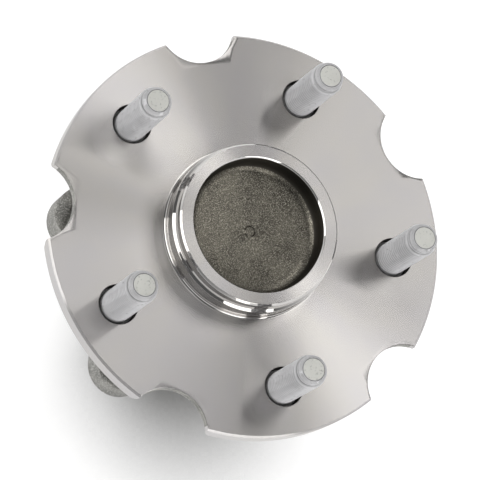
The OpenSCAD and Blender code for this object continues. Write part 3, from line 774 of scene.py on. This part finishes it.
def studProfile(shape):
    s = shape
    head, knurl, thread, lead, tip = (
        s["headRadius"], s["knurlRadius"], s["threadRadius"], s["leadRadius"], s["tipRadius"])
    span = s["threadHigh"] - s["threadLow"]
    rows = round(span / s["threadPitch"] * s["threadRows"])
    backRound, rimRound, topRound = s["headRounds"]
    foot = softened([
        (0, s["headBack"]),
        (head - s["headSlope"], s["headBack"], backRound),
        (head, s["headBack"] + s["headRise"], rimRound),
        (head, s["headTop"], topRound),
        (knurl, s["headTop"]),
        *[(knurl, s["headTop"] + up) for up in s["knurlLoops"]],
        (knurl, s["knurlTop"] - s["knurlTaper"]),
        (thread, s["knurlTop"]),
    ])
    shank = [Vector((thread, s["threadLow"] + span * k / rows)) for k in range(rows + 1)]
    leadLow = s["threadHigh"] + s["leadLow"]
    footOut, footDown = s["leadFoot"]
    end = softened([
        (thread - s["threadEnd"], s["threadHigh"] + s["threadEnd"]),
        (lead + footOut, leadLow - footDown),
        *[(lead, leadLow + s["leadStep"] * k) for k in range(s["leadRows"])],
        (lead, s["tip"] - s["tipEdge"], s["leadRound"]),
        (tip + s["lipOut"], s["tip"] - s["lipLow"], s["lipRound"]),
        (tip, s["tip"] - s["lipHigh"]),
        (tip - s["tipGroove"] / 2, s["tip"] - s["tipGroove"]),
        (tip - s["tipGroove"], s["tip"]),
        (0, s["tip"]),
    ])
    return foot + shank + end


def makeStud(shape):
    s = shape
    stud = turned("wheelStud", studProfile(s), steps=studSteps)
    near = 0.02                       # from a point to the radius or height that it is made at

    def depthAt(radius, turn, height):
        wave = threadWave(turn, height, s["threadPitch"], s["threadCrest"], s["threadFlank"])
        # the thread fades out at both ends of the shank, and goes on along the lead, less deep
        fadeIn = np.clip((height - s["threadLow"]) / s["fadeLow"], 0, 1)
        fadeOut = np.clip((s["threadHigh"] - height) / s["fadeHigh"], 0, 1)
        onShank = (np.abs(radius - s["threadRadius"]) < near) & (height > s["threadLow"] - near)
        onLead = (np.abs(radius - s["leadRadius"]) < near) & (height < s["tip"] - s["leadHigh"])
        onKnurl = (np.abs(radius - s["knurlRadius"]) < near) & (height > s["headTop"] + near)
        valley = np.round(turn * 2 * s["knurls"]) % 2
        return (np.where(onShank, wave * (fadeIn * fadeOut) * s["threadDepth"], 0)
                + np.where(onLead, wave * s["leadDepth"], 0)
                + np.where(onKnurl, s["knurlDepth"] * valley, 0))

    reshaped(stud, depthAt)
    smoothed(stud, angle=35)
    wear(stud, studZinc, studEnd)
    wearWhere(stud, lambda place, normal: 1 if place.z > s["tip"] - near else 0)
    return stud


def makeStuds(shape):
    pattern = makeStud(shape)
    for i in range(studCount):
        stud = copyOf(pattern, f"wheelStud_{i + 1}")
        placed(stud, (studCircle, 0, 0), firstStud + studStep * i)
        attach(stud, "hub")
        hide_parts(f"wheel_stud_{i + 1}")
    bpy.data.objects.remove(pattern)


makeStuds(studShape)
print("studs done")


# Outer ring with its four ears

ringShape = {
    "bodyRadius": 41.0, "bodyTop": -14.0, "bodyChamfer": 1.5, "bodyRounds": (0.6, 0.4),
    "bodyLoops": (-56.0, -47.5, -36.0, -26.0),    # one of them at the ears' top
    "sealSeat": 36.5, "sealFloor": -21.0, "seatChamfer": 0.5, "seatRound": 0.15,
    "lipRadius": 34.75, "lipRound": 0.2, "firstRow": -29.5, "secondRow": -51.5,
    "capSeat": 35.2, "capSeatTop": -61.5,
    "mountFace": -60.0, "spigotRadius": 39.0, "spigotEnd": -68.0, "spigotChamfer": 1.0,
    "faceCut": 64.0, "faceCutPast": 0.2,          # the tool that cuts both
    "boltX": 39.5, "boltY": 28.0, "boreRadius": 6.05, "boreLead": 0.4, "boreSteps": 60,
    "earRadius": 11.5, "earTop": -47.5, "flankRadius": 36.4, "earFillet": 3.0, "earRound": 2.0,
    "rootSteps": 16, "tipSteps": 32,
    # the ears' ends are turned, and crowned at the top
    "earReach": 59.95, "crownRadius": 56.5, "crownDrop": 2.2, "crownRounds": (2.0, 4.0),
    # how deep the ears' roots, their fillet and the envelope reach into the body
    "rootSink": 1.8, "filletSink": 0.15, "envelopeSink": 3.0,
    # the ears start longer than the envelope that trims them, and it is higher than they are
    "earBelow": 2.0, "earAbove": 4.0, "envelopeAbove": 5.0,
}
quarters = ((1, 1), (-1, 1), (-1, -1), (1, -1))


def ringProfile(shape):
    s = shape
    body, lip, cap = s["bodyRadius"], s["lipRadius"], s["capSeat"]
    chamfer, seatRound = s["seatChamfer"], s["seatRound"]
    sideRound, topRound = s["bodyRounds"]
    groove = pitchRadius - grooveOut
    first = arcPoints(
        (groove, s["firstRow"] + grooveAlong), grooveRadius, lipAngle, -shoulderAngle, grooveSteps)
    second = arcPoints(
        (groove, s["secondRow"] - grooveAlong), grooveRadius, shoulderAngle, -lipAngle, grooveSteps)
    return softened([
        (s["sealSeat"] + chamfer, s["bodyTop"], seatRound),
        (s["sealSeat"], s["bodyTop"] - chamfer, seatRound),
        (s["sealSeat"], s["sealFloor"]),
        (lip, s["sealFloor"], s["lipRound"]),
        *first,
        *second,
        (lip, s["capSeatTop"]),
        (cap, s["capSeatTop"]),
        (cap, s["spigotEnd"] + chamfer, seatRound),
        (cap + chamfer, s["spigotEnd"], seatRound),
        (body, s["spigotEnd"]),
        *[(body, height) for height in s["bodyLoops"]],
        (body, s["bodyTop"] - s["bodyChamfer"], sideRound),
        (body - s["bodyChamfer"], s["bodyTop"], topRound),
    ])


def earOutline(s, signX, signY):
    # flanks are tangent to the tip and to a circle inside the body
    centre = Vector((signX * s["boltX"], signY * s["boltY"]))
    middle = math.degrees(math.atan2(centre.y, centre.x))
    lean = math.degrees(math.acos((s["flankRadius"] - s["earRadius"]) / centre.length))
    inner = s["bodyRadius"] - s["rootSink"]
    rootLean = lean - math.degrees(math.acos(s["flankRadius"] / inner))
    root = arcPoints((0, 0), inner, middle + rootLean, middle - rootLean, s["rootSteps"])
    return root + arcPoints(centre, s["earRadius"], middle - lean, middle + lean, s["tipSteps"])


def makeEnvelope(shape):
    # the envelope gives the ears their top, the fillet to the body and the crowned ends
    s = shape
    low, high = s["mountFace"] - overreach, s["earTop"] + s["envelopeAbove"]
    inside, wall = s["bodyRadius"] - s["envelopeSink"], s["bodyRadius"] - s["filletSink"]
    endRound, crownRound = s["crownRounds"]
    return turned("envelope", softened([
        (inside, low), (s["earReach"], low),
        (s["earReach"], s["earTop"] - s["crownDrop"], endRound),
        (s["crownRadius"], s["earTop"], crownRound),
        (wall, s["earTop"], s["earFillet"] + s["filletSink"]),
        (wall, high), (inside, high),
    ]), closed=True)


def addEars(ring, shape):
    s = shape
    envelope = makeEnvelope(s)
    sharp = math.radians(40)
    lowest, innermost = s["earTop"] - 4, s["bodyRadius"] - 1.2

    def onTopEdge(edge):
        # between an ear's flank and its top
        if len(edge.link_faces) != 2 or edge.calc_face_angle(0) <= sharp:
            return False
        middle = (edge.verts[0].co + edge.verts[1].co) / 2 * 1000
        return middle.z > lowest and math.hypot(middle.x, middle.y) > innermost

    for signX, signY in quarters:
        low, high = s["mountFace"] - s["earBelow"], s["earTop"] + s["earAbove"]
        ear = extruded("ear", earOutline(s, signX, signY), low, high)
        combined(ear, copyOf(envelope, "envelopeCopy"), "INTERSECT")
        closeUp(ear)
        bevelled(ear, onTopEdge, s["earRound"], rounds=4)
        combined(ring, ear, "UNION")
    bpy.data.objects.remove(envelope)


def cutMountFace(ring, shape):
    # one cut makes the knuckle face and leaves the spigot standing
    s = shape
    past = s["faceCutPast"]
    cutWith(ring, turned("underCut", [
        (s["spigotRadius"], s["mountFace"]), (s["faceCut"], s["mountFace"]),
        (s["faceCut"], s["spigotEnd"] - past),
        (s["spigotRadius"] - s["spigotChamfer"] - past, s["spigotEnd"] - past),
        (s["spigotRadius"], s["spigotEnd"] + s["spigotChamfer"]),
    ], closed=True))


def cutBolts(ring, shape):
    s = shape
    low, high, lead = s["mountFace"], s["earTop"], s["boreLead"]
    wide = s["boreRadius"] + lead + overreach
    bore = turned("bore", [
        (0, low - overreach), (wide, low - overreach), (s["boreRadius"], low + lead),
        (s["boreRadius"], high - lead), (wide, high + overreach), (0, high + overreach),
    ], steps=s["boreSteps"])
    for signX, signY in quarters:
        cutWith(ring, placed(copyOf(bore, "boreCopy"), (signX * s["boltX"], signY * s["boltY"], 0)))
    bpy.data.objects.remove(bore)


def wearRing(ring, shape):
    s = shape
    wear(ring, forgedSkin, groundSteel, turnedFace)
    forged, ground, machined = range(3)
    slack = 0.1                                   # from a face's centre to the limit it keeps to
    insideRadius, insideTop = s["bodyRadius"] - 0.6, s["bodyTop"] - 0.3
    bandLow, bandRadius = s["bodyTop"] - s["bodyChamfer"] - slack, s["bodyRadius"] + slack

    def finish(place, normal):
        r, z = math.hypot(place.x, place.y), place.z
        if r < insideRadius and z < insideTop:
            return ground
        onTopBand = z > bandLow and r < bandRadius
        return machined if z < s["mountFace"] + slack or onTopBand else forged

    wearWhere(ring, finish)


def makeOuterRing(shape):
    ring = turned("knuckleRing", ringProfile(shape), closed=True)
    addEars(ring, shape)
    cutMountFace(ring, shape)
    cutBolts(ring, shape)
    closeUp(ring)
    smoothed(ring, angle=32)
    wearRing(ring, shape)
    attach(ring, "outer_ring")
    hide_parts("bearing_housing")
    return ring


# one closed sleeve in each ear, with the thread on its inside
tapShape = {
    "radius": 5.3, "wall": 0.35, "inset": 0.5, "endSlope": 0.1, "steps": 60,
    "pitch": 1.25, "rows": 10, "depth": 0.6, "crest": 0.1, "flank": 0.3,
}


def makeTappedThreads(shape, ring):
    s = shape
    low, high = ring["mountFace"] + s["inset"], ring["earTop"] - s["inset"]
    outside = ring["boreRadius"] + s["wall"]
    count = round((high - low) / s["pitch"] * s["rows"])
    inside = [(s["radius"], low + (high - low) * k / count) for k in range(count + 1)]
    line = inside + [(outside, high + s["endSlope"]), (outside, low - s["endSlope"])]
    pattern = turned("tappedThread", line, steps=s["steps"], closed=True)

    def depthAt(radius, turn, height):
        # less than nothing on the inside, because this thread goes outwards
        wave = threadWave(turn, height, s["pitch"], s["crest"], s["flank"])
        return np.where(radius < outside - s["wall"], -wave * s["depth"], 0)

    reshaped(pattern, depthAt)
    smoothed(pattern, angle=35)
    wear(pattern, groundSteel)
    for i, (signX, signY) in enumerate(quarters):
        thread = copyOf(pattern, f"tappedThread_{i + 1}")
        placed(thread, (signX * ring["boltX"], signY * ring["boltY"], 0))
        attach(thread, "outer_ring")
    bpy.data.objects.remove(pattern)


knuckleRing = makeOuterRing(ringShape)
makeTappedThreads(tapShape, ringShape)
print("outer ring done:", len(knuckleRing.data.polygons), "faces")


# CAD pieces that keep their shape

nodeFinish = {
    "inner_ring": groundSteel, "lock_nut": nutPhosphate, "encoder_carrier": caseSteel,
    "encoder_magnet": encoderFerrite, "seal_case": caseSteel, "seal_lips": sealRubber,
    "sensor_cap": capSteel, "sensor_body": sensorPlastic, "sensor_element": chipResin,
    "sensor_terminal_1": terminalBrass, "sensor_terminal_2": terminalBrass,
    "outboard_cage": cagePolyamide, "inboard_cage": cagePolyamide,
}
ballCount = 12
for row in ("outboard", "inboard"):
    for i in range(ballCount):
        nodeFinish[f"{row}_ball_{i + 1}"] = ballSteel
for name, material in nodeFinish.items():
    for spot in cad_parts[name].material_slots:
        spot.material = material
print("CAD pieces finished")


# Studio

studio = {
    "floorHeight": -91.5, "floorSize": 9000, "floorColour": 0.82, "floorRoughness": 0.9,
    # what the camera and the metal see of the floor: a darker paper, lifted to white out of the shade
    "seenColour": 0.35, "floorLift": 0.86, "shadeReach": 160, "shadeSide": 263, "shadeLean": 1.4,
    "shadeDark": 0.37, "shadeLight": 0.66, "shadeSamples": 32,
    # the room: its even light, and the pale horizon and dark zenith that metal shows
    "worldStrength": 0.22, "horizon": 1.0, "horizonTop": 0.22, "zenith": 0.12, "zenithLow": 0.46,
    "cameraPlace": (448.880, 171.928, 1020.441), "cameraTurn": (15.2538, -20.1105, 162.4887),
    "lens": 234.74, "sensorWidth": 36, "clipStart": 50, "clipEnd": 50000,
    "lampTint": (1.0, 0.988, 0.970),
    # soft boxes: azimuth, elevation, distance, width, height, watts
    "boxes": {
        "mirrorBox": (192, 55, 1300, 600, 500, 1.5),
        "roofBox": (0, 90, 1300, 700, 700, 1.35),
        "topBox": (262, 46, 1300, 560, 900, 3.15),
        "rightBox": (148, 48, 1300, 500, 650, 1.9),
        "backBox": (90, 30, 1300, 900, 600, 4.2),
        "leftBox": (340, 30, 1300, 900, 600, 4.2),
    },
}


def floorShade(tree, look):
    # the soft shadow lies on the far side of the part from shadeSide
    side = math.radians(look["shadeSide"])
    lean = (look["shadeLean"] * math.cos(side), look["shadeLean"] * math.sin(side), 0)
    up = addNode(tree, "ShaderNodeNewGeometry").outputs["Normal"]
    towards = addNode(
        tree, "ShaderNodeVectorMath", {0: vectorNode(tree, "ADD", up, lean)}, operation="NORMALIZE")
    return addNode(
        tree, "ShaderNodeAmbientOcclusion",
        {"Distance": look["shadeReach"] / 1000, "Normal": towards.outputs[0]},
        samples=look["shadeSamples"]).outputs["AO"]


def makeFloor(look):
    clearSelection()
    bpy.ops.mesh.primitive_plane_add(
        size=look["floorSize"] / 1000, location=metres((0, 0, look["floorHeight"])))
    floor = bpy.context.object
    floor.name = "studioFloor"
    material, tree, shader = newMaterial("studioPaper", Roughness=look["floorRoughness"])
    shader.inputs["Emission Color"].default_value = (1, 1, 1, 1)
    rays = addNode(tree, "ShaderNodeLightPath").outputs
    seen = mathNode(tree, "MAXIMUM", rays["Is Camera Ray"], rays["Is Glossy Ray"])
    seen = mathNode(tree, "MAXIMUM", seen, rays["Is Transmission Ray"])
    paper = mixColours(tree, seen, [look["floorColour"]] * 3, [look["seenColour"]] * 3)
    tree.links.new(paper, shader.inputs["Base Color"])
    lift = mapRange(
        tree, floorShade(tree, look), look["shadeDark"], look["shadeLight"], 0.0, look["floorLift"])
    tree.links.new(mathNode(tree, "MULTIPLY", seen, lift), shader.inputs["Emission Strength"])
    floor.data.materials.append(material)


def makeWorld(look, scene):
    scene.world = scene.world or bpy.data.worlds.new("studioWorld")
    scene.world.use_nodes = True
    sky = scene.world.node_tree
    background = sky.nodes["Background"]
    background.inputs["Color"].default_value = (1, 1, 1, 1)
    direction = addNode(sky, "ShaderNodeTexCoord").outputs["Generated"]
    height = addNode(sky, "ShaderNodeSeparateXYZ", {0: direction}).outputs[2]
    shown = mapRange(
        sky, height, look["horizonTop"], look["zenithLow"], look["horizon"], look["zenith"])
    diffuse = addNode(sky, "ShaderNodeLightPath").outputs["Is Diffuse Ray"]
    strength = addNode(sky, "ShaderNodeMix", {0: diffuse, 2: shown, 3: look["worldStrength"]})
    sky.links.new(strength.outputs[0], background.inputs["Strength"])


def makeSoftBoxes(look, scene):
    for name, (azimuth, elevation, distance, width, height, watts) in look["boxes"].items():
        light = bpy.data.lights.new(name, "AREA")
        light.shape, light.energy, light.color = "RECTANGLE", watts, look["lampTint"]
        light.size, light.size_y = width / 1000, height / 1000
        item = bpy.data.objects.new(name, light)
        scene.collection.objects.link(item)
        aim = Euler((0, math.radians(-elevation), math.radians(azimuth)), "XYZ").to_matrix()
        item.location = aim @ Vector((distance / 1000, 0, 0))
        item.rotation_euler = (-item.location).to_track_quat("-Z", "Y").to_euler()


def makeCamera(look, scene):
    camera = bpy.data.cameras.new("photoCamera")
    camera.lens, camera.sensor_width = look["lens"], look["sensorWidth"]
    camera.clip_start, camera.clip_end = look["clipStart"] / 1000, look["clipEnd"] / 1000
    seat = bpy.data.objects.new("photoCamera", camera)
    scene.collection.objects.link(seat)
    seat.location = Vector(look["cameraPlace"]) / 1000
    seat.rotation_euler = Euler([math.radians(angle) for angle in look["cameraTurn"]], "XYZ")
    scene.camera = seat


def makeStudio(look):
    scene = bpy.context.scene
    scene.view_settings.view_transform = "Standard"
    makeFloor(look)
    makeWorld(look, scene)
    makeSoftBoxes(look, scene)
    makeCamera(look, scene)


makeStudio(studio)
print("studio done")
